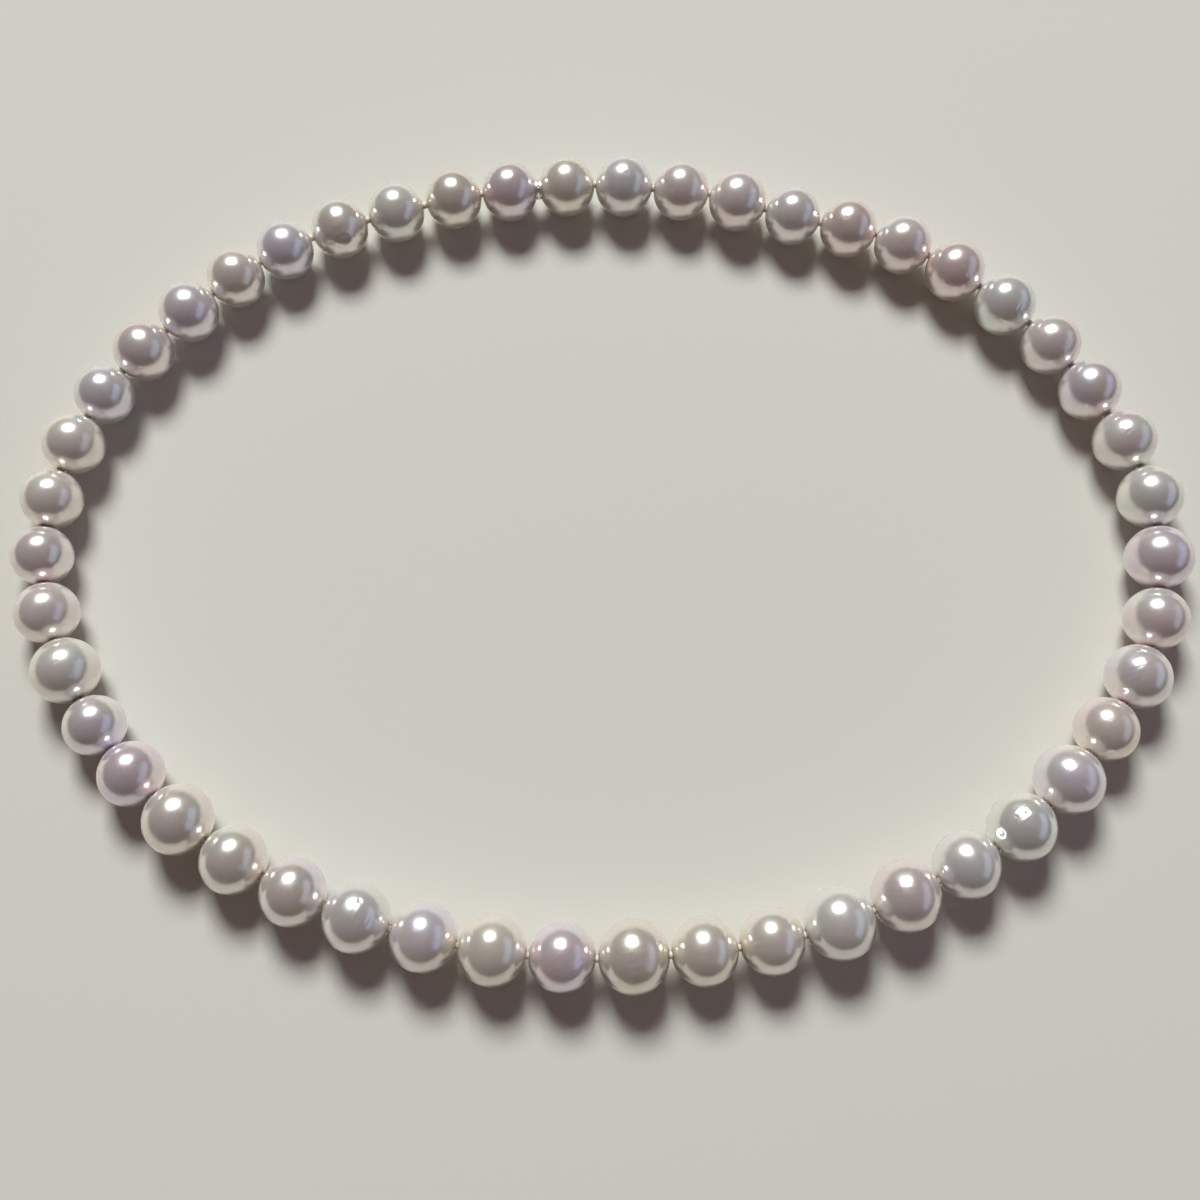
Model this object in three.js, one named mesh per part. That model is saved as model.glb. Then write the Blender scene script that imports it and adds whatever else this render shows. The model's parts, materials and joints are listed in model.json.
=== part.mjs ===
// A sixteen-inch strand of forty-eight round white pearls, closed on itself by a snap clasp that is hidden
// inside the two pearls at the back of the neck.
// Millimetres, +Z up. The strand lies on z = 0 and the origin is under the middle of its bounding box.
// Seen from above the pearls are numbered clockwise from the clasp, and the largest are at the front, on -Y.
import * as THREE from "three";

// ---- driving dimensions ----
const pearlCount = 48;
const backPearl = 7.7; // diameter along the strand beside the clasp
const frontPearl = 8.6; // diameter along the strand at the middle of the front
const girthShare = 1.04; // how much wider a pearl is across its bore than along it
// Pearls whose diameter stands out from the even graduation, by number.
const oddPearls = {
  1: 0.2,
  2: 0.4,
  3: 0.2,
  4: 0.4,
  6: 0.1,
  7: 0.1,
  8: 0.3,
  9: 0.4,
  10: 0.1,
  11: 0.2,
  12: 0.2,
  13: 0.2,
  14: 0.3,
  15: -0.1,
  17: -0.3,
  18: 0.3,
  19: 0.1,
  20: -0.1,
  21: 0.2,
  22: 0.3,
  23: -0.5,
  24: -0.3,
  25: 0.2,
  26: -0.3,
  27: -0.1,
  28: -0.2,
  29: -0.1,
  30: -0.2,
  31: -0.1,
  32: 0.3,
  33: -0.2,
  34: -0.6,
  35: 0.2,
  36: -0.2,
  37: -0.4,
  38: -0.2,
  40: -0.2,
  41: 0.1,
  42: 0.2,
  45: 0.2,
  46: 0.2,
  47: 0.2,
  48: 0.2,
};
const knotRoom = 0.16; // clear space that a tightly drawn knot keeps between two pearls
// Knots that were left slacker, by the number of the pearl before them, and the room that they add.
const slackKnots = { 9: 0.06, 12: 0.16, 15: 0.14, 44: 0.2, 45: 0.14, 46: 0.24 };
const claspRoom = 0.2; // clear space between the clasp's two pearls
const facets = 12; // sides round a pearl, so that one side lies flat on the ground
const arcSteps = 5; // straight steps from one drill hole to the other

const drillRadius = 0.45;
const countersinkRadius = 0.8;
const countersinkDepth = 0.35;

const silkRadius = 0.24;
const silkSides = 6;
const knotRadius = 0.55;
const knotHalfLength = 0.42;
const knotCrownHalfLength = 0.16; // half of the knot's widest stretch

// The way the strand lies, clockwise from the clasp, as points laid by hand on the middle line of the pearls.
const layPoints = [
  [-7, 53.5],
  [1, 53.5],
  [13, 52],
  [21.5, 50.5],
  [28.5, 47],
  [36.5, 45.5],
  [44, 42.5],
  [51, 38],
  [57.5, 32],
  [63.5, 26],
  [67.5, 18.5],
  [71.5, 11],
  [74, 2.5],
  [73, -6],
  [72, -14.5],
  [68, -22],
  [62.5, -28.5],
  [57, -35],
  [47, -42.5],
  [35, -48],
  [22.5, -52],
  [10, -53.5],
  [-7.5, -53.5],
  [-24, -50.5],
  [-40, -44.5],
  [-54, -35.5],
  [-65.5, -23],
  [-72.5, -8.5],
  [-74, -0.5],
  [-73.5, 7.5],
  [-67.5, 23],
  [-56.5, 35],
  [-43.5, 44.5],
  [-27.5, 50],
  [-15.5, 52.5],
];

// The hidden clasp. Lengths run from the middle plane between its two pearls.
const claspBoreRadius = 1.5;
const claspBoreDepth = 5.3;
const barrelRadius = 1.3;
const barrelWall = 0.3;
const claspFaceGap = 0.08; // from the middle plane to each half's face
const lipRadius = 0.95; // the socket's mouth, which the post's head passes
const lipLength = 0.6;
const ringGrooveLength = 0.7;
const snapRingInner = 0.62;
const snapRingOuter = 0.9;
const snapRingThickness = 0.4;
const postRadius = 0.42;
const postHeadRadius = 0.7;
const postReach = 2.1;
const postPlateThickness = 0.6;
const barrelLength = 4.9;
const capThickness = 0.35;
const capHoleRadius = 0.36;
const fitGap = 0.06; // between a cap and the barrel it closes
const endKnotRadius = 0.6;
const endKnotHalfLength = 0.5;
const claspSides = 12;

// ---- materials ----
const nacre = new THREE.MeshStandardMaterial({ color: 0xe9e3dc, roughness: 0.22, metalness: 0 });
const silk = new THREE.MeshStandardMaterial({ color: 0xefe6d2, roughness: 0.8, metalness: 0 });
const whiteGold = new THREE.MeshStandardMaterial({ color: 0xd9d5cc, roughness: 0.2, metalness: 1 });
const springSteel = new THREE.MeshStandardMaterial({ color: 0xb9bcc0, roughness: 0.3, metalness: 1 });

// ---- the pearls' sizes and places ----
// The diameters grow evenly from the clasp to the front of the strand and shrink back again.
function pearlDiameter(number) {
  const turn = (2 * Math.PI * (number - 0.5)) / pearlCount;
  const share = (1 - Math.cos(turn)) / 2;
  return backPearl + (frontPearl - backPearl) * share + (oddPearls[number] ?? 0);
}

// The clear space after a pearl. The clasp comes after the last pearl and before the first.
function roomAfter(number) {
  return number % pearlCount === 0 ? claspRoom : knotRoom + (slackKnots[number] ?? 0);
}

// From its centre a pearl takes up the strand back to the middle of one space and on to that of the next.
const sizes = Array.from({ length: pearlCount }, (_, i) => {
  const diameter = pearlDiameter(i + 1);
  const back = (diameter + roomAfter(i)) / 2;
  const ahead = (diameter + roomAfter(i + 1)) / 2;
  return { diameter, back, ahead, pitch: back + ahead };
});
const claspSize = sizes[0]; // the clasp's two halves meet face to face, so the last pearl is the same size

const layCurve = new THREE.CatmullRomCurve3(
  layPoints.map(([x, y]) => new THREE.Vector3(x, y, 0)),
  true,
  "centripetal",
);
layCurve.arcLengthDivisions = 2000;
const placeOnLay = (share, scale) => layCurve.getPointAt(share % 1).multiplyScalar(scale);

// Going on from one share of the lay's length, the next share that is a straight distance from a point.
function walk(point, share, distance, scale) {
  let near = share;
  let far = share + (1.5 * distance) / (scale * layCurve.getLength());
  for (let i = 0; i < 40; i++) {
    const middle = (near + far) / 2;
    if (placeOnLay(middle, scale).distanceTo(point) < distance) near = middle;
    else far = middle;
  }
  return near;
}

// The knots round the loop at one scale of the lay: knots[i] follows pearl i + 1.
// The clasp makes its two pearls one straight link, so no knot lies between them.
function strungKnots(scale) {
  const claspLink = sizes.at(-1).pitch + claspSize.pitch;
  let share = walk(placeOnLay(0, scale), 0, claspSize.pitch, scale);
  const knots = [placeOnLay(share, scale)];
  for (let i = 1; i < pearlCount - 1; i++) {
    share = walk(knots.at(-1), share, sizes[i].pitch, scale);
    knots.push(placeOnLay(share, scale));
  }
  return { knots, share, shortfall: knots.at(-1).distanceTo(knots[0]) - claspLink };
}

// The scale at which the strung pearls just close the loop.
function closingScale() {
  let small = 0.9;
  let large = 1.1;
  for (let i = 0; i < 40; i++) {
    const middle = (small + large) / 2;
    const { share, shortfall } = strungKnots(middle);
    if (share < 1 && shortfall > 0) large = middle;
    else small = middle;
  }
  return (small + large) / 2;
}

const { knots } = strungKnots(closingScale());

// Each pearl sits between its knots, touches the ground, and is bored along the strand.
const pearls = sizes.map(({ diameter, back, ahead, pitch }, i) => {
  const last = i === pearlCount - 1;
  const before = knots[i === 0 ? knots.length - 1 : i - 1];
  const along = knots[last ? 0 : i].clone().sub(before).normalize();
  // The first pearl of the clasp's straight link ends at its own knot, and the last one starts there.
  const centre = last
    ? before.clone().addScaledVector(along, back)
    : knots[i].clone().addScaledVector(along, -ahead);
  centre.z = (girthShare * diameter) / 2;
  const heading = Math.atan2(along.y, along.x);
  return { number: i + 1, diameter, back, ahead, pitch, centre, along, heading };
});

// ---- shapes turned about the strand's own direction ----
// Lathes a closed profile of [radius, place along the strand] and lays its axis along +X, one side down.
function turned(profile, sides) {
  const points = profile.map(([radius, along]) => new THREE.Vector2(radius, along));
  const geometry = new THREE.LatheGeometry(points, sides);
  geometry.rotateY(Math.PI / sides);
  geometry.rotateZ(-Math.PI / 2);
  return geometry;
}

// The outside of a pearl, from one drill hole's edge to the other, as [radius, place along the bore].
// It is fattened so that the sides round its middle, not their corners, touch the true pearl.
function pearlOutside(diameter) {
  const radius = diameter / 2;
  const middleStep = (Math.PI / 2 - Math.asin(countersinkRadius / radius)) / arcSteps;
  const girth = (girthShare * radius) / (Math.cos(middleStep) * Math.cos(Math.PI / facets));
  const edge = Math.asin(countersinkRadius / girth);
  return Array.from({ length: arcSteps + 1 }, (_, i) => {
    const angle = edge + ((Math.PI - 2 * edge) * i) / arcSteps;
    return [girth * Math.sin(angle), -radius * Math.cos(angle)];
  });
}

function strungPearl(diameter) {
  const outside = pearlOutside(diameter);
  const holeEnd = outside.at(-1)[1] - countersinkDepth;
  const profile = [...outside, [drillRadius, holeEnd], [drillRadius, -holeEnd]];
  return turned([...profile, profile[0]], facets);
}

// A clasp's pearl: drilled wide from the clasp's side, and for the silk from the other.
function claspPearl({ diameter, back }) {
  const outside = pearlOutside(diameter);
  const [edgeRadius, edgePlace] = outside.pop();
  const [wideRadius, widePlace] = outside.at(-1);
  const share = (wideRadius - claspBoreRadius) / (wideRadius - edgeRadius);
  const boreFloor = back - claspBoreDepth;
  const profile = [
    ...outside,
    [claspBoreRadius, widePlace + share * (edgePlace - widePlace)],
    [claspBoreRadius, boreFloor],
    [drillRadius, boreFloor],
    [drillRadius, outside[0][1] + countersinkDepth],
  ];
  return turned([...profile, profile[0]], facets);
}

// ---- the clasp's pieces, from the middle plane inwards ----
function claspSocket() {
  const inner = barrelRadius - barrelWall;
  const groove = claspFaceGap + lipLength + ringGrooveLength;
  const profile = [
    [lipRadius, claspFaceGap],
    [claspBoreRadius - fitGap * 2, claspFaceGap],
    [claspBoreRadius - fitGap * 2, claspFaceGap + barrelWall],
    [barrelRadius, claspFaceGap + 2 * barrelWall],
    [barrelRadius, barrelLength],
    [inner, barrelLength],
    [inner, groove],
    [inner + fitGap * 2, groove - fitGap],
    [inner + fitGap * 2, claspFaceGap + lipLength],
    [lipRadius, claspFaceGap + lipLength],
  ];
  return turned([...profile, profile[0]], claspSides);
}

function claspPost() {
  const inner = barrelRadius - barrelWall;
  const plate = claspFaceGap + postPlateThickness;
  const neck = postReach - 2 * (postHeadRadius - postRadius);
  return turned(
    [
      [0, -postReach],
      [postRadius, -postReach],
      [postHeadRadius, -postReach + (postHeadRadius - postRadius)],
      [postHeadRadius, -neck + (postHeadRadius - postRadius) / 2],
      [postRadius, -neck + (postHeadRadius - postRadius)],
      [postRadius, claspFaceGap],
      [claspBoreRadius - fitGap * 2, claspFaceGap],
      [claspBoreRadius - fitGap * 2, claspFaceGap + barrelWall],
      [barrelRadius, claspFaceGap + 2 * barrelWall],
      [barrelRadius, barrelLength],
      [inner, barrelLength],
      [inner, plate],
      [0, plate],
    ],
    claspSides,
  );
}

function snapRing() {
  const start = claspFaceGap + lipLength + (ringGrooveLength - snapRingThickness) / 2;
  const bevel = snapRingThickness / 4;
  const profile = [
    [snapRingInner, start + bevel],
    [snapRingInner + bevel, start],
    [snapRingOuter, start],
    [snapRingOuter, start + snapRingThickness],
    [snapRingInner + bevel, start + snapRingThickness],
    [snapRingInner, start + snapRingThickness - bevel],
  ];
  return turned([...profile, profile[0]], claspSides);
}

// The washer that closes a barrel behind the silk's end knot.
function barrelCap() {
  const rim = barrelRadius - barrelWall - fitGap * 2;
  const inside = barrelLength - fitGap - capThickness;
  const profile = [
    [capHoleRadius, inside],
    [rim, inside],
    [rim, barrelLength - fitGap],
    [capHoleRadius, barrelLength - fitGap],
  ];
  return turned([...profile, profile[0]], claspSides);
}

// ---- the silk ----
// Where the silk is at a distance along the strand from the clasp, and which way it runs there.
// It bends only at the knots, and rises and falls a little between pearls of different size.
const knotDistances = [];
for (const { pitch } of sizes) knotDistances.push((knotDistances.at(-1) ?? 0) + pitch);

function silkAt(distance) {
  const found = knotDistances.findIndex((end) => distance <= end);
  const i = found < 0 ? pearlCount - 1 : found;
  const { centre, along, back, ahead } = pearls[i];
  const fromCentre = distance - knotDistances[i] + ahead;
  const reach = fromCentre < 0 ? back : ahead;
  const neighbour = pearls[fromCentre < 0 ? i - 1 : i + 1] ?? pearls[i];
  const point = centre.clone().addScaledVector(along, fromCentre);
  point.z += ((neighbour.centre.z - centre.z) * Math.abs(fromCentre)) / (2 * reach);
  const toKnot = reach - Math.abs(fromCentre);
  const turning = Math.max(0, 1 - toKnot / knotHalfLength) / 2;
  return { point, along: along.clone().lerp(neighbour.along, turning).normalize() };
}

// The strung silk is turned straight, knots and all, and its corners are then laid along the strand.
function silkThread() {
  const endKnot = barrelLength - fitGap - capThickness - endKnotHalfLength - fitGap;
  const last = knotDistances.at(-1) - endKnot;
  const profile = [[0, endKnot - endKnotHalfLength]];
  profile.push([endKnotRadius, endKnot - endKnotHalfLength / 2]);
  profile.push([endKnotRadius, endKnot + endKnotHalfLength / 2]);
  profile.push([silkRadius, endKnot + endKnotHalfLength]);
  sizes.slice(0, -1).forEach(({ ahead }, i) => {
    const knot = knotDistances[i];
    if (i > 0) profile.push([silkRadius, knot - ahead]);
    profile.push([silkRadius, knot - knotHalfLength]);
    profile.push([knotRadius, knot - knotCrownHalfLength]);
    profile.push([knotRadius, knot + knotCrownHalfLength]);
    profile.push([silkRadius, knot + knotHalfLength]);
  });
  profile.push([silkRadius, last - endKnotHalfLength]);
  profile.push([endKnotRadius, last - endKnotHalfLength / 2]);
  profile.push([endKnotRadius, last + endKnotHalfLength / 2]);
  profile.push([0, last + endKnotHalfLength]);

  const geometry = turned(profile, silkSides);
  const corners = geometry.getAttribute("position");
  for (let i = 0; i < corners.count; i++) {
    const { point, along } = silkAt(corners.getX(i));
    const side = new THREE.Vector3(-along.y, along.x, 0);
    point.addScaledVector(side, corners.getY(i));
    point.z += corners.getZ(i);
    corners.setXYZ(i, point.x, point.y, point.z);
  }
  return geometry;
}

// ---- the assembly ----
const necklace = new THREE.Group();

function addPiece(name, geometry, material, parent = necklace) {
  const mesh = new THREE.Mesh(geometry, material);
  mesh.name = name;
  parent.add(mesh);
  return mesh;
}

for (const { number, diameter, centre, heading } of pearls) {
  const first = number === 1;
  const last = number === pearlCount;
  const geometry = first || last ? claspPearl(claspSize) : strungPearl(diameter);
  const mesh = addPiece("pearl_" + String(number).padStart(2, "0"), geometry, nacre);
  mesh.position.copy(centre);
  // A clasp pearl's wide bore faces the clasp: forwards on the last pearl, backwards on the first.
  mesh.rotation.z = first ? heading + Math.PI : heading;
}

addPiece("silk_thread", silkThread(), silk);

// Each half of the clasp has its own group on the middle plane, with +X pointing into its own pearl.
const firstPearl = pearls[0];
const claspPlace = firstPearl.centre.clone().addScaledVector(firstPearl.along, -firstPearl.back);

const socketHalf = new THREE.Group();
socketHalf.position.copy(claspPlace);
socketHalf.rotation.z = firstPearl.heading;
necklace.add(socketHalf);
addPiece("clasp_socket", claspSocket(), whiteGold, socketHalf);
addPiece("clasp_snap_ring", snapRing(), springSteel, socketHalf);
addPiece("clasp_socket_cap", barrelCap(), whiteGold, socketHalf);

const postHalf = new THREE.Group();
postHalf.position.copy(claspPlace);
postHalf.rotation.z = firstPearl.heading + Math.PI;
necklace.add(postHalf);
addPiece("clasp_post", claspPost(), whiteGold, postHalf);
addPiece("clasp_post_cap", barrelCap(), whiteGold, postHalf);

// The origin goes under the middle of the strand's bounding box.
const bounds = new THREE.Box3().setFromObject(necklace, true);
const middle = bounds.getCenter(new THREE.Vector3());
necklace.position.set(-middle.x, -middle.y, -bounds.min.z);

export default necklace;
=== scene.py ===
"""A knotted strand of forty-eight white pearls with a hidden clasp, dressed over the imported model.

Each pearl, each knot, each run of silk and each turned part of the clasp is built here as a fine mesh in the
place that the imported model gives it. Lengths are in metres, unless a name ends in _mm.
"""
import json
import math
import random

import bpy
import numpy as np
from mathutils import Matrix, Vector

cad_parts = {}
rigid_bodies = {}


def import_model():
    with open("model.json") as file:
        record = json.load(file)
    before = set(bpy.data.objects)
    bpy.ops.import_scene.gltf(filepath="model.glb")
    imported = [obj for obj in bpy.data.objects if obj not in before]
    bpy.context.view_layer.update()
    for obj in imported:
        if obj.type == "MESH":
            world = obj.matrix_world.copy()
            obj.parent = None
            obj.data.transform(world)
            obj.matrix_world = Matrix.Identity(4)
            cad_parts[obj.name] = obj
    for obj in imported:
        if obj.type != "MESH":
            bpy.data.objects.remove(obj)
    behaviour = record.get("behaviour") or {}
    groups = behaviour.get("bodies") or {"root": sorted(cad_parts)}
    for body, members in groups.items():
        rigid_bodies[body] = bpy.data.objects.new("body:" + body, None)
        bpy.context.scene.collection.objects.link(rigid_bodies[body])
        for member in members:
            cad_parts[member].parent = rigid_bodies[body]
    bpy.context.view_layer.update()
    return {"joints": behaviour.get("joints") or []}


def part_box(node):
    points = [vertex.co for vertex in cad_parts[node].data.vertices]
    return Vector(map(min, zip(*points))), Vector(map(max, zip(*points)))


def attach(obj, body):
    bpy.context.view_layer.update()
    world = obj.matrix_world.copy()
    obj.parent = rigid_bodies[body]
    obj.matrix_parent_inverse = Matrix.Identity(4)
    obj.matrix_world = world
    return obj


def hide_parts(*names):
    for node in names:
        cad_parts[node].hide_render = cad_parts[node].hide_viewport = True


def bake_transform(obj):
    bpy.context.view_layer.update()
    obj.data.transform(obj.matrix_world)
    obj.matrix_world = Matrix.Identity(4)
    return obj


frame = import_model()

MM = 0.001
PEARL_COUNT = 48

# ---- what the frame says about the strand ----


def pearl_name(number):
    return f"pearl_{number:02d}"


def pearl_number(name):
    return int(name.split("_")[1])


def find_knots():
    """The knot after each pearl, by that pearl's number. A joint's place is its knot."""
    knots = {}
    for joint in frame["joints"]:
        number = min(pearl_number(joint["parent"]), pearl_number(joint["child"]))
        knots[number] = Vector(joint["pos_m"])
    return knots


KNOTS = find_knots()
KNOT_ROOM = 0.16 * MM  # clear space that a tight knot keeps between two pearls
GIRTH_SHARE = 1.04  # how much wider a pearl is across the strand than along it


class Pearl:
    """A pearl's place: its centre, its size, and the direction of the strand through it, clockwise."""

    def __init__(self, number):
        low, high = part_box(pearl_name(number))
        self.number = number
        self.radius = (high.z - low.z) / 2  # across the strand
        self.reach = self.radius / GIRTH_SHARE  # along it, from the centre
        self.is_clasp = number in (1, PEARL_COUNT)
        before = KNOTS[PEARL_COUNT - 1 if number == 1 else number - 1]
        after = KNOTS[1 if number == PEARL_COUNT else number]
        self.along = ((after - before) * Vector((1, 1, 0))).normalized()
        self.heading = math.atan2(self.along.y, self.along.x)
        if self.is_clasp:
            knot = after if number == 1 else before
            to_knot = self.reach + KNOT_ROOM / 2
            self.centre = knot + self.along * (-to_knot if number == 1 else to_knot)
        else:
            self.centre = (low + high) / 2
        self.centre.z = low.z + self.radius
        self.place = Matrix.Translation(self.centre) @ Matrix.Rotation(self.heading, 4, "Z")


PEARLS = {number: Pearl(number) for number in range(1, PEARL_COUNT + 1)}
CLASP_MIDDLE = (PEARLS[1].centre + PEARLS[PEARL_COUNT].centre) / 2

# ---- the camera ----
# It looks down on the strand from in front, turned a little round and tilted a little to one side.
CAMERA_AZIMUTH = math.radians(6.78)
CAMERA_ELEVATION = math.radians(73.58)
CAMERA_ROLL = math.radians(4.13)
CAMERA_DISTANCE = 189.3 * MM
CAMERA_TARGET = Vector((-1.16, -7.74, 4)) * MM
CAMERA_LENS = 43.5  # focal length on a 36 mm sensor


def camera_axes():
    """The camera's right, up and backward directions."""
    flat = math.cos(CAMERA_ELEVATION)
    forward = Vector((
        math.sin(CAMERA_AZIMUTH) * flat,
        math.cos(CAMERA_AZIMUTH) * flat,
        -math.sin(CAMERA_ELEVATION),
    ))
    level = Vector((math.cos(CAMERA_AZIMUTH), -math.sin(CAMERA_AZIMUTH), 0))
    upright = level.cross(forward)
    right = math.cos(CAMERA_ROLL) * level + math.sin(CAMERA_ROLL) * upright
    up = -math.sin(CAMERA_ROLL) * level + math.cos(CAMERA_ROLL) * upright
    return right, up, -forward


RIGHT, UP, BACK = camera_axes()
CAMERA_PLACE = CAMERA_TARGET + BACK * CAMERA_DISTANCE


def make_camera():
    data = bpy.data.cameras.new("camera")
    data.sensor_width = 36
    data.lens = CAMERA_LENS
    data.clip_start = 0.01
    camera = bpy.data.objects.new("camera", data)
    turn = Matrix((RIGHT, UP, BACK)).transposed().to_4x4()
    camera.matrix_world = Matrix.Translation(CAMERA_PLACE) @ turn
    bpy.context.scene.collection.objects.link(camera)
    bpy.context.scene.camera = camera


# ---- meshes ----


def new_object(name, points, faces, place, material):
    mesh = bpy.data.meshes.new(name)
    mesh.from_pydata([tuple(p) for p in points], [], faces)
    mesh.shade_smooth()
    mesh.materials.append(material)
    piece = bpy.data.objects.new(name, mesh)
    bpy.context.scene.collection.objects.link(piece)
    piece.matrix_world = place
    return piece


def ring_faces(ring_count, sides, first=0, closed=False):
    """Quads between rings of points, each ring with the next, and the last with the first if closed."""
    faces = []
    for ring in range(ring_count if closed else ring_count - 1):
        near = first + ring * sides
        far = first + (ring + 1) % ring_count * sides
        for side in range(sides):
            turned = (side + 1) % sides
            faces.append((near + side, near + turned, far + turned, far + side))
    return faces


def lathe(profile, sides):
    """Points and faces of a closed profile of (radius, place along +X), turned round the X axis."""
    angles = 2 * np.pi * np.arange(sides) / sides
    radius, along = np.array(profile).T
    points = np.empty((len(profile), sides, 3))
    points[..., 0] = along[:, None]
    points[..., 1] = radius[:, None] * np.cos(angles)
    points[..., 2] = radius[:, None] * np.sin(angles)
    return points.reshape(-1, 3), ring_faces(len(profile), sides, closed=True)


def rounded(profile, fillet, steps=3):
    """The closed profile with every corner rounded, as far as its edges leave room for the fillet."""
    made = []
    count = len(profile)
    for i in range(count):
        corner = np.array(profile[i], float)
        before = np.array(profile[i - 1], float) - corner
        after = np.array(profile[(i + 1) % count], float) - corner
        back = min(fillet, np.linalg.norm(before) * 0.4)
        on = min(fillet, np.linalg.norm(after) * 0.4)
        start = corner + before / np.linalg.norm(before) * back
        end = corner + after / np.linalg.norm(after) * on
        for step in range(steps + 1):
            t = step / steps
            made.append(tuple((1 - t) ** 2 * start + 2 * t * (1 - t) * corner + t * t * end))
    return made


def swept(path, radius_at, sides, lobes=3, lobe_depth=0.0, twist=0.0):
    """Points and faces of a tube along a path with closed round ends. Its section has lobes, as plies do."""
    points = []
    path = [Vector(p) for p in path]
    side = Vector((0, 0, 1))
    travelled = 0.0
    for i, place in enumerate(path):
        ahead = (path[min(i + 1, len(path) - 1)] - path[max(i - 1, 0)]).normalized()
        side = (side - ahead * side.dot(ahead)).normalized()
        other = ahead.cross(side)
        if i:
            travelled += (place - path[i - 1]).length
        for k in range(sides):
            angle = 2 * math.pi * k / sides
            radius = radius_at(i) * (1 + lobe_depth * math.cos(lobes * (angle - twist * travelled)))
            points.append(place + side * (radius * math.cos(angle)) + other * (radius * math.sin(angle)))
    faces = ring_faces(len(path), sides)
    points += [path[0], path[-1]]
    start, end = len(points) - 2, len(points) - 1
    last = (len(path) - 1) * sides
    for k in range(sides):
        turned = (k + 1) % sides
        faces.append((start, turned, k))
        faces.append((end, last + k, last + turned))
    return points, faces


def joined(*parts):
    """Several (points, faces) as one."""
    points, faces = [], []
    for part_points, part_faces in parts:
        first = len(points)
        points += [tuple(p) for p in part_points]
        faces += [tuple(first + k for k in face) for face in part_faces]
    return points, faces


# ---- the shape of a pearl ----
PEARL_SIDES = 128
PEARL_STEPS = 84
MOUTH_RADIUS = 0.72 * MM  # where the drill hole's worn edge begins
DRILL_RADIUS = 0.45 * MM
MOUTH_DEPTH = 0.34 * MM
MOUTH_STEPS = 4
BORE_STEPS = 6
CLASP_BORE_RADIUS = 1.5 * MM
CLASP_BORE_DEPTH = 5.3 * MM  # from the plane where the clasp's halves meet
UNEVENNESS = 0.0045  # of the radius, in the slow swells of a cultured pearl
SWELL_COUNT = 7
RIPPLE_COUNT = 14
RIPPLE_HEIGHT = 0.00034  # of the radius
MARK_RELIEF = 1.6  # how much more the marks stand out than the depths given for them
FADE_BY_HOLE = 0.3  # sine of the angle from the bore at which the unevenness is whole


def pearl_profile(pearl):
    """The closed section of a bored pearl as (radius, place along the strand), and its skin's point count."""
    radius = pearl.radius
    mouth = math.asin(MOUTH_RADIUS / radius)
    far_mouth = math.asin(CLASP_BORE_RADIUS / radius) if pearl.is_clasp else mouth
    skin = []
    for step in range(PEARL_STEPS + 1):
        angle = mouth + (math.pi - mouth - far_mouth) * step / PEARL_STEPS
        skin.append((radius * math.sin(angle), -pearl.reach * math.cos(angle)))
    worn = []
    end = pearl.reach * math.cos(mouth)
    for step in range(1, MOUTH_STEPS + 1):
        angle = math.pi / 2 * step / MOUTH_STEPS
        across = MOUTH_RADIUS - (MOUTH_RADIUS - DRILL_RADIUS) * math.sin(angle)
        worn.append((across, end - MOUTH_DEPTH * (1 - math.cos(angle))))
    bore_end = worn[-1][1]
    near_worn = [(across, -along) for across, along in reversed(worn)]
    if pearl.is_clasp:
        floor = clasp_distance(pearl) - CLASP_BORE_DEPTH
        wide = [(CLASP_BORE_RADIUS, floor), (DRILL_RADIUS, floor), (DRILL_RADIUS, -bore_end)]
        return skin + wide + near_worn[1:], len(skin)
    bore = []
    for step in range(1, BORE_STEPS):
        bore.append((DRILL_RADIUS, bore_end * (1 - 2 * step / BORE_STEPS)))
    return skin + worn + bore + near_worn, len(skin)


def clasp_distance(pearl):
    """From a clasp pearl's centre to the plane where the clasp's halves meet."""
    return (pearl.centre - CLASP_MIDDLE).length


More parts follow.
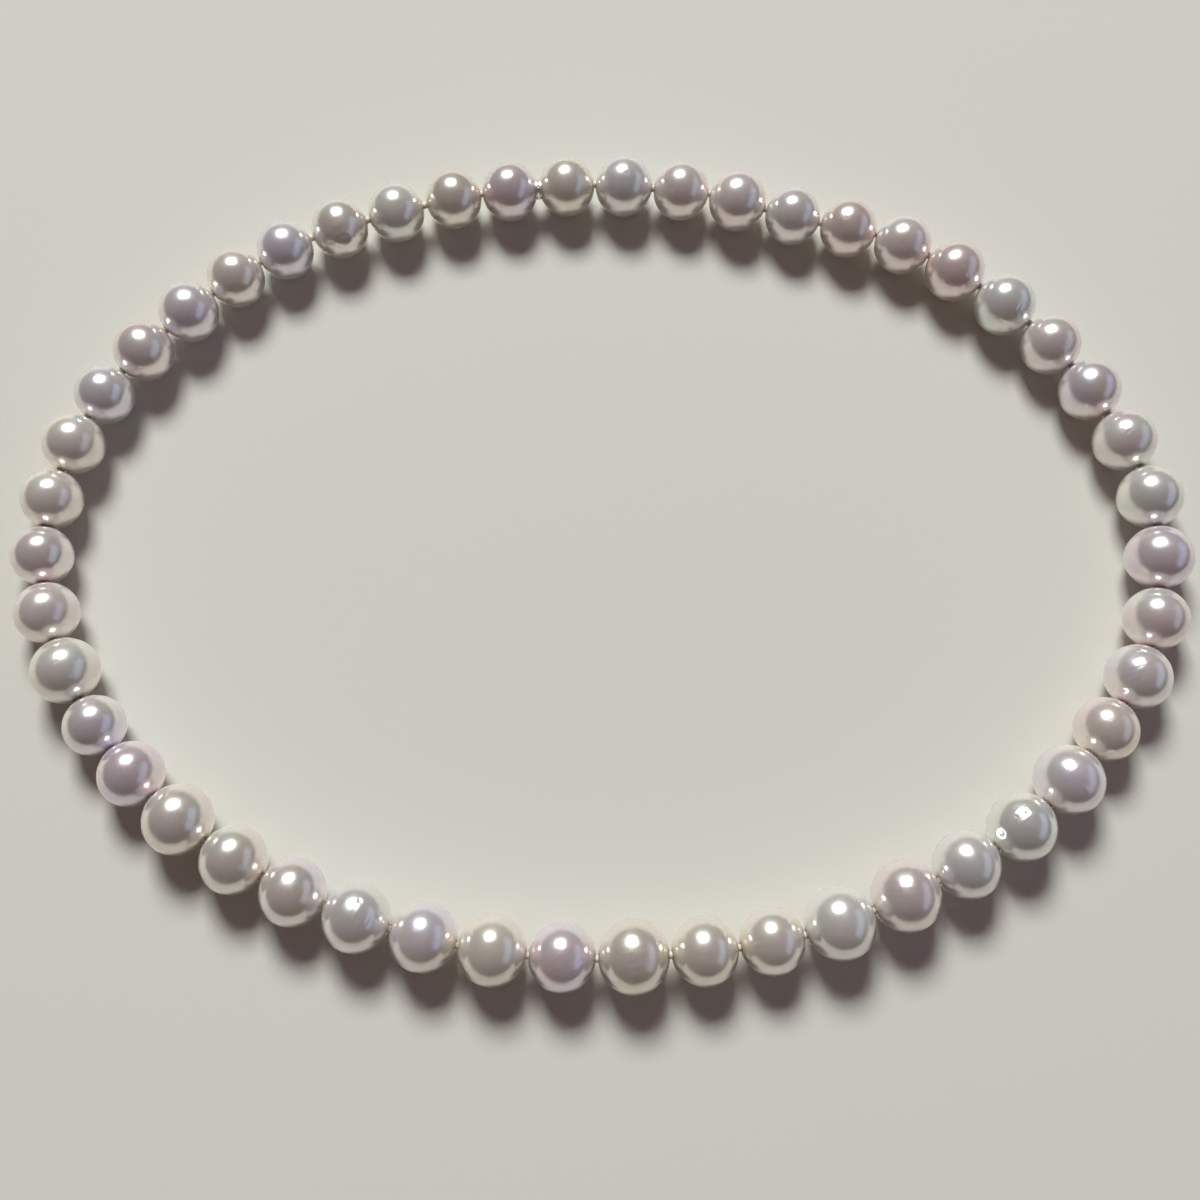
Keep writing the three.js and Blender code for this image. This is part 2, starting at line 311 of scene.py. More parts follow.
class Skin:
    """The unit directions of a pearl's skin in the necklace's frame, and heights added to it in metres."""

    def __init__(self, pearl, points):
        self.pearl = pearl
        turn = np.array(pearl.place.to_3x3())
        self.directions = (points / np.linalg.norm(points, axis=1)[:, None]) @ turn.T
        self.heights = np.zeros(len(points))
        back = (CAMERA_PLACE - pearl.centre).normalized()
        self.back = np.array(back)
        self.right = np.array((RIGHT - back * RIGHT.dot(back)).normalized())
        self.up = np.cross(self.back, self.right)

    def spot(self, right, up):
        """The direction of a spot that lies so far right and up of the middle, in shares of the radius."""
        depth = math.sqrt(max(0.0, 1 - right * right - up * up))
        return right * self.right + up * self.up + depth * self.back

    def distances(self, right, up):
        """How far each point is from a spot, over the skin, in millimetres."""
        cosine = np.clip(self.directions @ self.spot(right, up), -1, 1)
        return np.arccos(cosine) * self.pearl.radius / MM

    def frame_at(self, right, up, run):
        """Each point's place along and across a line through a spot, and whether it is on that side."""
        centre = self.spot(right, up)
        run = math.radians(run)
        ahead = math.cos(run) * self.right + math.sin(run) * self.up
        ahead = ahead - centre * (ahead @ centre)
        ahead = ahead / np.linalg.norm(ahead)
        across = np.cross(centre, ahead)
        scale = self.pearl.radius / MM
        near = self.directions @ centre > 0
        along_mm = np.arcsin(np.clip(self.directions @ ahead, -1, 1)) * scale
        across_mm = np.arcsin(np.clip(self.directions @ across, -1, 1)) * scale
        return along_mm, across_mm, near

    def dimple(self, right, up, width, depth):
        """A pit with a faint raised lip. A depth below nought makes a bump."""
        distance = self.distances(right, up)
        pit = np.exp(-((distance / width) ** 2))
        lip = np.exp(-(((distance - 1.7 * width) / (0.6 * width)) ** 2))
        self.heights += (0.2 * lip - pit) * depth * MARK_RELIEF * MM

    def groove(self, right, up, run, length, width, depth, bend=0.0):
        """A fine furrow that runs through a spot at an angle from the right."""
        along, across, near = self.frame_at(right, up, run)
        across = across - bend * along * along
        ends = np.clip(1 - (2 * along / length) ** 2, 0, 1)
        self.heights -= near * ends * np.exp(-((across / width) ** 2)) * depth * MARK_RELIEF * MM

    def wrinkles(self, right, up, run, reach, spacing, height, rng):
        """A patch of uneven ridges that run at an angle from the right."""
        along, across, near = self.frame_at(right, up, run)
        patch = near * np.exp(-((self.distances(right, up) / reach) ** 2))
        ridges = np.zeros(len(along))
        for _ in range(4):
            pitch = spacing * rng.uniform(0.7, 1.6)
            slant = rng.uniform(-0.35, 0.35)
            wobble = rng.uniform(0.5, 1.2) * np.sin(along / rng.uniform(0.5, 1.1) + rng.uniform(0, 6.28))
            ridges += np.sin(6.28 * (across + slant * along) / pitch + wobble + rng.uniform(0, 6.28))
        self.heights += patch * ridges * height * MARK_RELIEF * MM / 2

    def swells(self, count, slowest, fastest, height, rng):
        """Smooth waves all over the pearl. The slowest are the highest, by a share of the radius."""
        for _ in range(count):
            axis = random_direction(rng)
            waves = rng.uniform(slowest, fastest)
            phase = rng.uniform(0, 6.28)
            wave = np.sin(self.directions @ axis * waves + phase)
            self.heights += wave * height * self.pearl.radius * slowest / waves / math.sqrt(count)

    def stretch(self, bearing, amount, pear=0.0):
        """Longer along a level bearing by a share of the radius, and fuller at that end if pear-shaped."""
        axis = np.array((math.cos(math.radians(bearing)), math.sin(math.radians(bearing)), 0))
        along = self.directions @ axis
        self.heights += self.pearl.radius * (amount * (along**2 - 0.5) + pear * along**3)


def random_direction(rng):
    axis = np.array([rng.gauss(0, 1) for _ in range(3)])
    return axis / np.linalg.norm(axis)


# Pearls that are rougher or smoother than the rest, by number.
ROUGHER = {12: 2.2, 13: 1.6, 16: 3.4, 17: 1.6, 18: 2.0, 19: 3.0, 21: 2.4, 24: 1.3, 25: 1.8, 26: 2.2, 29: 2.6,
           30: 1.8, 31: 1.6, 45: 3.2, 2: 1.8, 9: 2.0}

# Pearls that aren't round: the bearing of their longer way, how much longer, and how pear-shaped.
OUT_OF_ROUND = {14: (0, 0.022, 0), 18: (-35, 0.016, 0), 19: (20, 0.02, 0), 20: (150, 0.018, 0),
                22: (-50, 0.012, 0.008), 25: (80, 0.014, 0), 45: (-80, 0.012, 0.006), 46: (-70, 0.014, 0.014),
                31: (60, 0.01, 0), 9: (-60, 0.012, 0.004)}

# The marks that tell the pearls apart. Spots are how far right and up of a pearl's middle they lie, in
# shares of its radius; run is an angle from the right in degrees; the other sizes are in millimetres.
DIMPLES = {  # right, up, width, depth
    2: [(0.1, 0.44, 0.35, 0.02), (-0.2, 0.2, 0.25, 0.01)],
    6: [(0.35, -0.35, 0.22, 0.02)],
    7: [(0.3, 0.5, 0.2, 0.02)],
    8: [(0.25, -0.25, 0.25, -0.02), (0.42, -0.1, 0.2, 0.02)],
    9: [(-0.1, -0.5, 0.22, 0.03), (0.5, -0.28, 0.35, 0.03)],
    12: [(0.12, 0.28, 0.22, 0.03), (0.3, 0.12, 0.2, 0.02), (-0.05, 0.3, 0.2, 0.02)],
    13: [(-0.05, -0.62, 0.2, 0.03)],
    17: [(0.12, -0.72, 0.32, 0.045), (0.2, -0.42, 0.3, 0.02)],
    18: [(0.4, -0.22, 0.22, -0.03)],
    19: [(0.16, 0.42, 0.26, 0.05), (-0.58, -0.18, 0.5, 0.09), (0.0, 0.97, 1.3, 0.16),
         (-0.12, 0.28, 0.2, 0.03)],
    23: [(-0.42, -0.08, 0.24, -0.05)],
    24: [(0.1, -0.2, 0.4, 0.008)],
    29: [(0.08, 0.45, 0.28, 0.04), (0.5, 0.3, 0.3, 0.03), (0.62, 0.0, 0.3, -0.02)],
    32: [(-0.35, 0.66, 0.26, 0.05), (-0.2, 0.72, 0.2, 0.03)],
    35: [(0.2, 0.3, 0.22, 0.02)],
    45: [(0.15, -0.35, 0.55, 0.05), (-0.3, -0.45, 0.5, 0.05), (0.35, -0.6, 0.4, 0.04),
         (0.0, -0.15, 0.3, 0.03)],
    47: [(0.2, 0.25, 0.2, 0.015)],
}
GROOVES = {  # right, up, run, length, width, depth
    1: [(-0.5, 0.3, 88, 3.0, 0.16, 0.02), (-0.36, 0.36, 86, 2.4, 0.14, 0.014)],
    9: [(0.42, -0.12, 60, 2.8, 0.16, 0.03), (0.1, -0.78, 12, 2.6, 0.16, 0.02)],
    13: [(-0.35, 0.5, 30, 2.2, 0.16, 0.015)],
    16: [(-0.45, -0.42, 10, 1.4, 0.18, 0.05), (0.2, 0.1, 35, 2.0, 0.16, 0.02)],
    19: [(-0.2, 0.15, 70, 1.8, 0.2, 0.04), (0.1, -0.35, 5, 1.6, 0.16, 0.015)],
    24: [(0.0, -0.12, 5, 2.6, 0.14, 0.01)],
    25: [(0.02, -0.12, 28, 2.2, 0.14, 0.03), (-0.1, -0.35, 3, 2.8, 0.14, 0.012)],
    33: [(0.15, 0.3, 20, 1.6, 0.16, 0.01)],
    21: [(-0.1, -0.5, -10, 2.6, 0.18, 0.014)],
    22: [(0.1, -0.86, 8, 3.0, 0.16, 0.03)],
}
WRINKLES = {  # right, up, run, reach, spacing, height
    12: [(0.25, 0.15, 30, 1.4, 0.7, 0.006)],
    16: [(0.0, 0.2, 25, 2.2, 0.8, 0.011)],
    18: [(0.05, 0.3, 60, 1.3, 0.7, 0.007)],
    19: [(0.1, 0.3, 40, 1.8, 0.8, 0.012)],
    21: [(0.0, 0.1, 10, 2.2, 0.7, 0.007)],
    25: [(0.0, -0.2, 8, 2.0, 0.7, 0.006)],
    26: [(0.1, -0.3, 35, 2.2, 0.8, 0.011)],
    29: [(0.3, 0.1, 60, 2.0, 0.8, 0.010)],
    30: [(0.0, 0.2, 50, 1.6, 0.7, 0.005)],
    45: [(0.0, -0.3, 20, 2.0, 1.0, 0.014)],
}
STRAY_MARKS = 5  # small pits and bumps on every pearl, most of them out of sight
SWELL_WAVES = (1.6, 3.6)  # slowest and fastest, in radians over the radius
RIPPLE_WAVES = (9, 26)
UNDERSIDE = -0.8  # a skin point that faces down more than this is where the pearl lies on the surface


def shape_skin(skin):
    """Gives a pearl its swells, ripples and marks."""
    number = skin.pearl.number
    rng = random.Random(1000 + number)
    rougher = ROUGHER.get(number, 1.0)
    skin.swells(SWELL_COUNT, *SWELL_WAVES, UNEVENNESS, rng)
    skin.swells(RIPPLE_COUNT, *RIPPLE_WAVES, RIPPLE_HEIGHT * rougher, rng)
    if number in OUT_OF_ROUND:
        skin.stretch(*OUT_OF_ROUND[number])
    for mark in DIMPLES.get(number, ()):
        skin.dimple(*mark)
    for mark in GROOVES.get(number, ()):
        skin.groove(*mark)
    for mark in WRINKLES.get(number, ()):
        skin.wrinkles(*mark, rng)
    for _ in range(STRAY_MARKS):
        aside, upward = rng.uniform(-0.9, 0.9), rng.uniform(-0.4, 0.4)
        depth = rng.uniform(0.004, 0.018) * rng.choice((1, 1, -0.6))
        skin.dimple(aside, upward, rng.uniform(0.16, 0.3), depth)


def threaded_place(pearl):
    """A pearl's place, with +X along the strand, and the first one turned so that its clasp side is at +X."""
    if pearl.number == 1:
        return pearl.place @ Matrix.Rotation(math.pi, 4, "Z")
    return pearl.place


def make_pearl(pearl):
    profile, skin_rings = pearl_profile(pearl)
    points, faces = lathe(profile, PEARL_SIDES)
    skin_count = skin_rings * PEARL_SIDES
    skin = Skin(pearl, points[:skin_count])
    shape_skin(skin)
    sine = np.linalg.norm(points[:skin_count, 1:], axis=1) / pearl.radius
    edge = sine[0]
    fade = np.clip((sine - edge) / (FADE_BY_HOLE - edge), 0, 1)
    # A pearl swells freely, but not on its underside, so it stays above the surface that it lies on.
    heights = skin.heights * fade * fade * (3 - 2 * fade)
    heights = np.where(skin.directions[:, 2] < UNDERSIDE, np.minimum(heights, 0), heights)
    points[:skin_count] *= (1 + heights / pearl.radius)[:, None]
    material = nacre(pearl.number)
    piece = new_object(f"nacre_{pearl.number:02d}", points, faces, threaded_place(pearl), material)
    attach(piece, pearl_name(pearl.number))
    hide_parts(pearl_name(pearl.number))


# ---- the silk ----
SILK_RADIUS = 0.22 * MM
PLY_DEPTH = 0.1
PLY_TWIST = 2 * math.pi / (1.1 * MM)  # turns of the plies per metre of silk
RUN_SIDES = 18
RUN_STEPS = 48
KNOT_HALF_LENGTH = 0.36 * MM
WRAP_RADIUS = 0.3 * MM  # from the thread's middle to the middle of the turns drawn round it
WRAP_THREAD = 0.17 * MM
WRAP_TURNS = 2.5
WRAP_STEPS = 64
WRAP_SIDES = 12


def silk_run(pearl):
    """The straight thread inside a pearl, from knot to knot, or to the end knot in the clasp."""
    reach = pearl.reach + KNOT_ROOM
    path = [(reach * (2 * k / RUN_STEPS - 1), 0, 0) for k in range(RUN_STEPS + 1)]
    if pearl.is_clasp:
        end = clasp_distance(pearl) - END_KNOT_PLACE
        start = -reach
        path = [(start + (end - start) * k / RUN_STEPS, 0, 0) for k in range(RUN_STEPS + 1)]
    return swept(path, lambda i: SILK_RADIUS, RUN_SIDES, 3, PLY_DEPTH, PLY_TWIST)


def make_silk_run(pearl):
    points, faces = silk_run(pearl)
    piece = new_object(f"silk_run_{pearl.number:02d}", points, faces, threaded_place(pearl), silk())
    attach(piece, pearl_name(pearl.number))
    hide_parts("silk_thread")


def wound_knot(half_length, fullness=1.0):
    """A tight knot: the thread, and the turns that are drawn round it and tucked in at both ends."""
    wrap = []
    for step in range(WRAP_STEPS + 1):
        share = step / WRAP_STEPS
        angle = 2 * math.pi * WRAP_TURNS * share
        tuck = min(1.0, 6 * share, 6 * (1 - share))
        radius = WRAP_RADIUS * fullness * (0.35 + 0.65 * math.sin(math.pi / 2 * tuck))
        along = (half_length - WRAP_THREAD) * (2 * share - 1)
        wrap.append((along, radius * math.cos(angle), radius * math.sin(angle)))
    turns = swept(wrap, lambda i: WRAP_THREAD * fullness, WRAP_SIDES, 3, PLY_DEPTH, PLY_TWIST)
    core = [(half_length * 1.5 * (k / 8 - 1), 0, 0) for k in range(17)]
    thread = swept(core, lambda i: SILK_RADIUS, RUN_SIDES, 3, PLY_DEPTH, PLY_TWIST)
    return joined(turns, thread)


def make_knot(number):
    """The knot after a pearl. It lies between that pearl and the next, turned along the mean of their
    directions.
    """
    before, after = PEARLS[number], PEARLS[number + 1]
    along = (before.along + after.along).normalized()
    gap = (after.centre - before.centre).length - before.reach - after.reach
    half_length = max(KNOT_HALF_LENGTH, gap * 0.62)
    rng = random.Random(number)
    points, faces = wound_knot(half_length, 1 + 0.25 * min(1.0, max(0.0, gap / MM - 0.2)))
    heading = math.atan2(along.y, along.x)
    place = Matrix.Translation(KNOTS[number]) @ Matrix.Rotation(heading, 4, "Z")
    place = place @ Matrix.Rotation(rng.uniform(0, 6.28), 4, "X")
    piece = new_object(f"silk_knot_{number:02d}", points, faces, place, silk())
    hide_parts("silk_thread")
    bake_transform(piece)


# ---- the clasp ----
# Places along the strand run from the plane where the two halves meet into each half's own pearl.
CLASP_SIDES = 64
FACE_GAP = 0.08 * MM
CUP_RADIUS = 1.38 * MM
CUP_STEP = 0.3 * MM
BARREL_RADIUS = 1.3 * MM
BARREL_INNER = 1.0 * MM
BARREL_END = 4.9 * MM
LIP_RADIUS = 0.95 * MM
LIP_END = 0.68 * MM
GROOVE_RADIUS = 1.12 * MM
GROOVE_END = 1.38 * MM
RING_INNER = 0.62 * MM
RING_OUTER = 1.05 * MM
RING_THICKNESS = 0.4 * MM
RING_GAP = 20  # degrees left open in the snap ring
RING_STEPS = 48
RING_SIDES = 16
POST_RADIUS = 0.42 * MM
POST_HEAD_RADIUS = 0.7 * MM
POST_REACH = 2.1 * MM
POST_PLATE_END = 0.68 * MM
CAP_START = 4.49 * MM
CAP_END = 4.84 * MM
CAP_HOLE = 0.36 * MM
CAP_RIM = 0.88 * MM
END_KNOT_PLACE = 3.93 * MM
END_KNOT_HALF = 0.45 * MM
AXIS_RADIUS = 0.002 * MM  # a turned solid's profile stops this far from its axis
FILLET = 0.05 * MM


def clasp_place(pearl):
    """A half of the clasp: its origin on the meeting plane, +X into its own pearl."""
    turn = 0 if pearl.number == 1 else math.pi
    return Matrix.Translation(CLASP_MIDDLE) @ Matrix.Rotation(pearl.heading + turn, 4, "Z")


def barrel_outside(end):
    """The cup's face edge and the barrel that is glued in the pearl's bore."""
    return [
        (CUP_RADIUS, FACE_GAP),
        (CUP_RADIUS, FACE_GAP + CUP_STEP),
        (BARREL_RADIUS, FACE_GAP + 2 * CUP_STEP),
        (BARREL_RADIUS, end),
        (BARREL_INNER, end),
    ]


def socket_profile():
    return [(LIP_RADIUS, FACE_GAP)] + barrel_outside(BARREL_END) + [
        (BARREL_INNER, GROOVE_END),
        (GROOVE_RADIUS, GROOVE_END - FILLET),
        (GROOVE_RADIUS, LIP_END),
        (LIP_RADIUS, LIP_END),
    ]


def post_profile():
    slope = POST_HEAD_RADIUS - POST_RADIUS
    neck = POST_REACH - 2 * slope
    return [
        (AXIS_RADIUS, -POST_REACH),
        (POST_RADIUS, -POST_REACH),
        (POST_HEAD_RADIUS, -POST_REACH + slope),
        (POST_HEAD_RADIUS, -neck + slope / 2),
        (POST_RADIUS, -neck + slope),
        (POST_RADIUS, FACE_GAP),
    ] + barrel_outside(BARREL_END) + [(BARREL_INNER, POST_PLATE_END), (AXIS_RADIUS, POST_PLATE_END)]


def cap_profile():
    return [(CAP_HOLE, CAP_START), (CAP_RIM, CAP_START), (CAP_RIM, CAP_END), (CAP_HOLE, CAP_END)]


def split_ring():
    """The spring steel ring, round in section and open at one side."""
    middle = (RING_INNER + RING_OUTER) / 2
    centre = LIP_END + (GROOVE_END - LIP_END) / 2
    half_gap = math.radians(RING_GAP / 2)
    path = []
    for k in range(RING_STEPS + 1):
        angle = half_gap + (2 * math.pi - 2 * half_gap) * k / RING_STEPS
        path.append((centre, middle * math.cos(angle), middle * math.sin(angle)))
    return swept(path, lambda i: RING_THICKNESS / 2, RING_SIDES)


def make_clasp_part(name, parts, pearl, material):
    points, faces = parts
    piece = new_object(f"{name}_turned", points, faces, clasp_place(pearl), material)
    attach(piece, pearl_name(pearl.number))
    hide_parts(name)


def make_clasp():
    first, last = PEARLS[1], PEARLS[PEARL_COUNT]
    metal = white_gold()
    socket = lathe(rounded(socket_profile(), FILLET), CLASP_SIDES)
    post = lathe(rounded(post_profile(), FILLET), CLASP_SIDES)
    cap = lathe(rounded(cap_profile(), FILLET), CLASP_SIDES)
    make_clasp_part("clasp_socket", socket, first, metal)
    make_clasp_part("clasp_post", post, last, metal)
    make_clasp_part("clasp_socket_cap", cap, first, metal)
    make_clasp_part("clasp_post_cap", cap, last, metal)
    make_clasp_part("clasp_snap_ring", split_ring(), first, spring_steel())
    for pearl in (first, last):
        points, faces = wound_knot(END_KNOT_HALF, 1.2)
        place = clasp_place(pearl) @ Matrix.Translation((END_KNOT_PLACE, 0, 0))
        piece = new_object(f"silk_end_knot_{pearl.number:02d}", points, faces, place, silk())
        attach(piece, pearl_name(pearl.number))
        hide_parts("silk_thread")


# ---- materials ----


def new_material(name):
    """A node material with one Principled shader, and short ways to add and join its nodes."""
    material = bpy.data.materials.new(name)
    material.use_nodes = True
    shader = material.node_tree.nodes["Principled BSDF"]
    return material, shader


def add_node(material, kind, **settings):
    node = material.node_tree.nodes.new(kind)
    for key, value in settings.items():
        if hasattr(node, key):
            setattr(node, key, value)
        else:
            node.inputs[key.replace("_", " ")].default_value = value
    return node


def join(material, output, target):
    material.node_tree.links.new(output, target)


def noise_node(material, coordinates, scale, detail=2.0, distortion=0.0):
    """Noise over the piece's own coordinates. The scale is in features per metre."""
    node = add_node(material, "ShaderNodeTexNoise")
    node.inputs["Scale"].default_value = scale
    node.inputs["Detail"].default_value = detail
    node.inputs["Distortion"].default_value = distortion
    join(material, coordinates, node.inputs["Vector"])
    return node.outputs["Fac"]


def map_range(material, value, low, high, to_low, to_high):
    node = add_node(material, "ShaderNodeMapRange")
    for key, number in (("From Min", low), ("From Max", high), ("To Min", to_low), ("To Max", to_high)):
        node.inputs[key].default_value = number
    join(material, value, node.inputs["Value"])
    return node.outputs["Result"]


def mix_colours(material, share, first, second):
    """Mixes two colours. Each is a colour or another node's output."""
    node = add_node(material, "ShaderNodeMix", data_type="RGBA")
    join(material, share, node.inputs["Factor"])
    for colour, socket in ((first, node.inputs[6]), (second, node.inputs[7])):
        if isinstance(colour, tuple):
            socket.default_value = (*colour, 1)
        else:
            join(material, colour, socket)
    return node.outputs[2]


# Body colours and the overtones that float on them.
CREAM = (0.95, 0.865, 0.775)
WHITE = (0.94, 0.895, 0.85)
ROSE = (0.94, 0.79, 0.785)
SILVER = (0.86, 0.87, 0.85)
LAVENDER = (0.87, 0.83, 0.91)
OLIVE = (0.89, 0.86, 0.765)
MINT = (0.875, 0.90, 0.85)

# A pearl's body colour and overtone, where they aren't cream and white.
TONES = {
    1: (CREAM, OLIVE), 2: (SILVER, WHITE), 3: (WHITE, ROSE), 4: (WHITE, ROSE), 5: (SILVER, WHITE),
    6: (CREAM, ROSE), 7: (ROSE, WHITE), 8: (CREAM, ROSE), 9: (MINT, SILVER), 10: (ROSE, MINT),
    11: (CREAM, LAVENDER), 12: (ROSE, MINT), 13: (WHITE, MINT), 14: (LAVENDER, ROSE), 15: (ROSE, MINT),
    16: (WHITE, LAVENDER), 17: (CREAM, ROSE), 18: (WHITE, LAVENDER), 19: (WHITE, MINT), 20: (SILVER, WHITE),
    21: (ROSE, WHITE), 22: (WHITE, MINT), 23: (WHITE, CREAM), 24: (CREAM, OLIVE), 25: (CREAM, OLIVE),
    26: (LAVENDER, ROSE), 27: (OLIVE, CREAM), 28: (CREAM, LAVENDER), 29: (WHITE, SILVER),
    30: (CREAM, LAVENDER), 31: (CREAM, MINT), 33: (ROSE, LAVENDER), 34: (WHITE, LAVENDER), 35: (CREAM, MINT),
    36: (WHITE, ROSE), 37: (WHITE, ROSE), 40: (SILVER, LAVENDER), 41: (ROSE, WHITE), 42: (LAVENDER, WHITE),
    44: (SILVER, LAVENDER), 46: (OLIVE, MINT), 47: (CREAM, OLIVE), 48: (ROSE, LAVENDER),
}
# A tan that darkens the skin round the drill hole: partly a real stain, partly painted shade in the hole's
# mouth.
HOLE_STAIN_AND_SHADE = (0.62, 0.53, 0.42)
HOLE_STAIN_AND_SHADE_REACH = 1.3 * MM
LUSTRE = 0.63  # how much of the light the nacre's layers turn back like metal
CLOUD_SCALE = 190  # per metre: the overtone's patches are about half a pearl wide
BAND_SCALE = 420
SPECK_SCALE = 2600
RIPPLE_SCALE = 1500
SMOOTHEST, ROUGHEST = 0.19, 0.27  # the nacre's own roughness
COAT = 0.7
COAT_ROUGHNESS = 0.06
SKIN_RIPPLE_DEPTH = 0.0025 * MM


def nacre(number):
    """The pearl's own nacre: clouds of overtone, faint growth bands, specks, and a drill hole darkened by
    stain and painted shade.
    """
    rng = random.Random(200 + number)
    body, overtone = TONES.get(number, (CREAM, WHITE))
    material, shader = new_material(f"nacre_{number:02d}")
    coordinates = add_node(material, "ShaderNodeTexCoord").outputs["Object"]
    shift = add_node(material, "ShaderNodeVectorMath", operation="ADD")
    shift.inputs[1].default_value = (rng.uniform(0, 1), rng.uniform(0, 1), rng.uniform(0, 1))
    join(material, coordinates, shift.inputs[0])
    moved = shift.outputs["Vector"]

    clouds = map_range(material, noise_node(material, moved, CLOUD_SCALE, 2, 0.6), 0.35, 0.65, 0, 1)
    colour = mix_colours(material, clouds, body, overtone)

    stretched = add_node(material, "ShaderNodeMapping")
    stretched.inputs["Scale"].default_value = (1, 0.12, 0.12)
    join(material, moved, stretched.inputs["Vector"])
    bands = noise_node(material, stretched.outputs["Vector"], BAND_SCALE, 3, 0.4)
    paler = tuple(min(1, 1.07 * c) for c in body)
    band_share = map_range(material, bands, 0.45, 0.7, 0, 0.35)
    colour = mix_colours(material, band_share, colour, paler)

    specks = noise_node(material, moved, SPECK_SCALE, 1, 0)
    speck_share = map_range(material, specks, 0.68, 0.8, 0, 0.08)
    darker = tuple(0.8 * c for c in body)
    colour = mix_colours(material, speck_share, colour, darker)

    apart = add_node(material, "ShaderNodeSeparateXYZ")
    join(material, coordinates, apart.inputs["Vector"])
    flat = add_node(material, "ShaderNodeCombineXYZ")
    join(material, apart.outputs["Y"], flat.inputs["Y"])
    join(material, apart.outputs["Z"], flat.inputs["Z"])
    from_bore = add_node(material, "ShaderNodeVectorMath", operation="LENGTH")
    join(material, flat.outputs["Vector"], from_bore.inputs[0])
    # Darker tan towards the bore: partly stain, partly painted shade.
    stain_and_shade = map_range(material, from_bore.outputs["Value"], DRILL_RADIUS, HOLE_STAIN_AND_SHADE_REACH, 0.7, 0)
    colour = mix_colours(material, stain_and_shade, colour, HOLE_STAIN_AND_SHADE)
    join(material, colour, shader.inputs["Base Color"])

    patches = noise_node(material, moved, CLOUD_SCALE * 2, 3, 0.5)
    roughness = map_range(material, patches, 0.3, 0.7, SMOOTHEST, ROUGHEST)
    join(material, roughness, shader.inputs["Roughness"])

    ripples = noise_node(material, moved, RIPPLE_SCALE, 3, 0.6)
    bump = add_node(material, "ShaderNodeBump", Strength=0.35, Distance=SKIN_RIPPLE_DEPTH)
    join(material, ripples, bump.inputs["Height"])
    join(material, bump.outputs["Normal"], shader.inputs["Normal"])

    shader.inputs["Metallic"].default_value = LUSTRE + rng.uniform(-0.05, 0.05)
    shader.inputs["IOR"].default_value = 1.6
    shader.inputs["Subsurface Weight"].default_value = 0.5
    shader.inputs["Subsurface Radius"].default_value = (1.0, 0.72, 0.5)
    shader.inputs["Subsurface Scale"].default_value = 0.9 * MM
    shader.inputs["Coat Weight"].default_value = COAT
    shader.inputs["Coat Roughness"].default_value = COAT_ROUGHNESS
    shader.inputs["Coat IOR"].default_value = 1.5
    return material


made_materials = {}


def kept(make):
    """Makes a material once and hands out the same one after that."""

    def give():
        if make.__name__ not in made_materials:
            made_materials[make.__name__] = make()
        return made_materials[make.__name__]

    return give


@kept
def silk():
    """Twisted cream silk: fine fibres along the thread and a soft sheen."""
    material, shader = new_material("silk")
    coordinates = add_node(material, "ShaderNodeTexCoord").outputs["Object"]
    fibres = add_node(material, "ShaderNodeMapping")
    fibres.inputs["Scale"].default_value = (0.15, 1, 1)
    join(material, coordinates, fibres.inputs["Vector"])
    strands = noise_node(material, fibres.outputs["Vector"], 16000, 2, 0.2)
    shade = map_range(material, strands, 0.35, 0.65, 0, 1)
    colour = mix_colours(material, shade, (0.80, 0.72, 0.58), (0.95, 0.90, 0.80))
    join(material, colour, shader.inputs["Base Color"])
    bump = add_node(material, "ShaderNodeBump", Strength=0.6, Distance=0.02 * MM)
    join(material, strands, bump.inputs["Height"])
    join(material, bump.outputs["Normal"], shader.inputs["Normal"])
    shader.inputs["Roughness"].default_value = 0.62
    shader.inputs["Sheen Weight"].default_value = 0.35
    shader.inputs["Sheen Roughness"].default_value = 0.4
    return material


def metal(name, dark, light, smooth, worn):
    """Turned metal: fine tool rings round the axis, and soft wear that changes its gloss."""
    material, shader = new_material(name)
    coordinates = add_node(material, "ShaderNodeTexCoord").outputs["Object"]
    rings = add_node(material, "ShaderNodeMapping")
    rings.inputs["Scale"].default_value = (1, 0.05, 0.05)
    join(material, coordinates, rings.inputs["Vector"])
    turned = noise_node(material, rings.outputs["Vector"], 24000, 2, 0)
    wear = noise_node(material, coordinates, 1800, 3, 0.4)
    colour = mix_colours(material, map_range(material, wear, 0.35, 0.7, 0, 1), light, dark)
    join(material, colour, shader.inputs["Base Color"])
    join(material, map_range(material, wear, 0.3, 0.7, smooth, worn), shader.inputs["Roughness"])
    bump = add_node(material, "ShaderNodeBump", Strength=0.25, Distance=0.004 * MM)
    join(material, turned, bump.inputs["Height"])
    join(material, bump.outputs["Normal"], shader.inputs["Normal"])
    shader.inputs["Metallic"].default_value = 1.0
    return material


@kept
def white_gold():
    return metal("white_gold", (0.74, 0.72, 0.68), (0.88, 0.86, 0.82), 0.34, 0.5)


@kept
def spring_steel():
    return metal("spring_steel", (0.42, 0.43, 0.45), (0.62, 0.63, 0.65), 0.2, 0.36)


# ---- the studio ----
FLOOR_SIZE = 5.0
FLOOR_COLOUR = (0.705, 0.69, 0.625)
LIGHT_DISTANCE = 3.0
# The dim light from all round: at the horizon and below, half-way up, and overhead.
WORLD_BELOW = (0.11, 0.09, 0.075)
WORLD_LOW = (0.10, 0.07, 0.068)
WORLD_ABOVE = (0.105, 0.066, 0.072)
WORLD_LOW_AT = 0.55  # how high that is, as the direction's Z


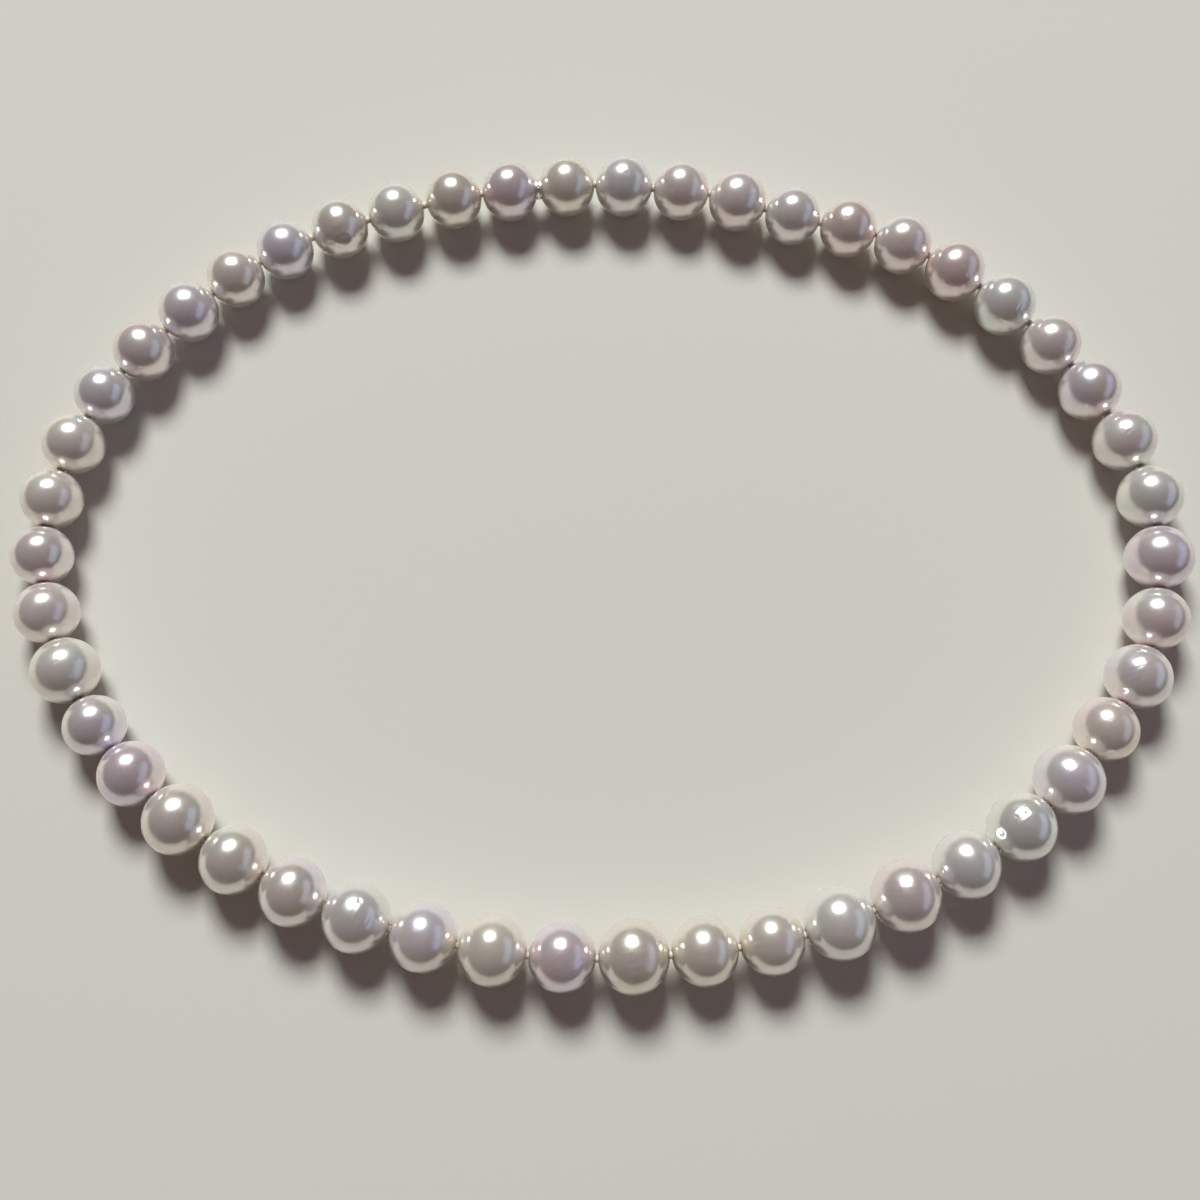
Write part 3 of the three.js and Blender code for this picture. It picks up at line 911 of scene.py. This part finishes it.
def make_floor():
    half = FLOOR_SIZE / 2
    corners = [(-half, -half, 0), (half, -half, 0), (half, half, 0), (-half, half, 0)]
    material, shader = new_material("floor")
    shader.inputs["Base Color"].default_value = (*FLOOR_COLOUR, 1)
    shader.inputs["Roughness"].default_value = 0.9
    shader.inputs["Specular IOR Level"].default_value = 0.2
    floor = new_object("floor", corners, [(0, 1, 2, 3)], Matrix.Identity(4), material)


def make_area_light(name, direction, width, height, power, colour):
    """A soft box at the light distance, facing the strand."""
    data = bpy.data.lights.new(name, "AREA")
    data.shape = "RECTANGLE"
    data.size = width
    data.size_y = height
    data.energy = power
    data.color = colour
    light = bpy.data.objects.new(name, data)
    towards = Vector(direction).normalized()
    light.location = towards * LIGHT_DISTANCE
    light.rotation_mode = "QUATERNION"
    light.rotation_quaternion = (-towards).to_track_quat("-Z", "Y")
    bpy.context.scene.collection.objects.link(light)


def make_studio():
    make_floor()
    make_area_light("window", (-0.1, 0.66, 0.75), 1.15, 0.9, 92, (0.965, 1.0, 0.995))
    make_area_light("side_window", (0.86, -0.1, 0.5), 4.0, 1.4, 6.5, (0.56, 0.68, 1.0))
    world = bpy.data.worlds.new("studio")
    bpy.context.scene.world = world
    world.use_nodes = True
    nodes = world.node_tree.nodes
    links = world.node_tree.links
    background = nodes["Background"]
    coordinates = nodes.new("ShaderNodeTexCoord")
    apart = nodes.new("ShaderNodeSeparateXYZ")
    links.new(coordinates.outputs["Generated"], apart.inputs["Vector"])
    ramp = nodes.new("ShaderNodeValToRGB")
    ramp.color_ramp.elements[0].position = 0.0
    ramp.color_ramp.elements[0].color = (*WORLD_BELOW, 1)
    ramp.color_ramp.elements[1].position = 1.0
    ramp.color_ramp.elements[1].color = (*WORLD_ABOVE, 1)
    middle = ramp.color_ramp.elements.new(WORLD_LOW_AT)
    middle.color = (*WORLD_LOW, 1)
    links.new(apart.outputs["Z"], ramp.inputs["Fac"])
    links.new(ramp.outputs["Color"], background.inputs["Color"])
    background.inputs["Strength"].default_value = 1.0
    bpy.context.scene.view_settings.view_transform = "Standard"


# ---- the necklace ----
make_camera()
make_studio()
for strung in PEARLS.values():
    make_pearl(strung)
    make_silk_run(strung)
for knot_number in KNOTS:
    make_knot(knot_number)
make_clasp()
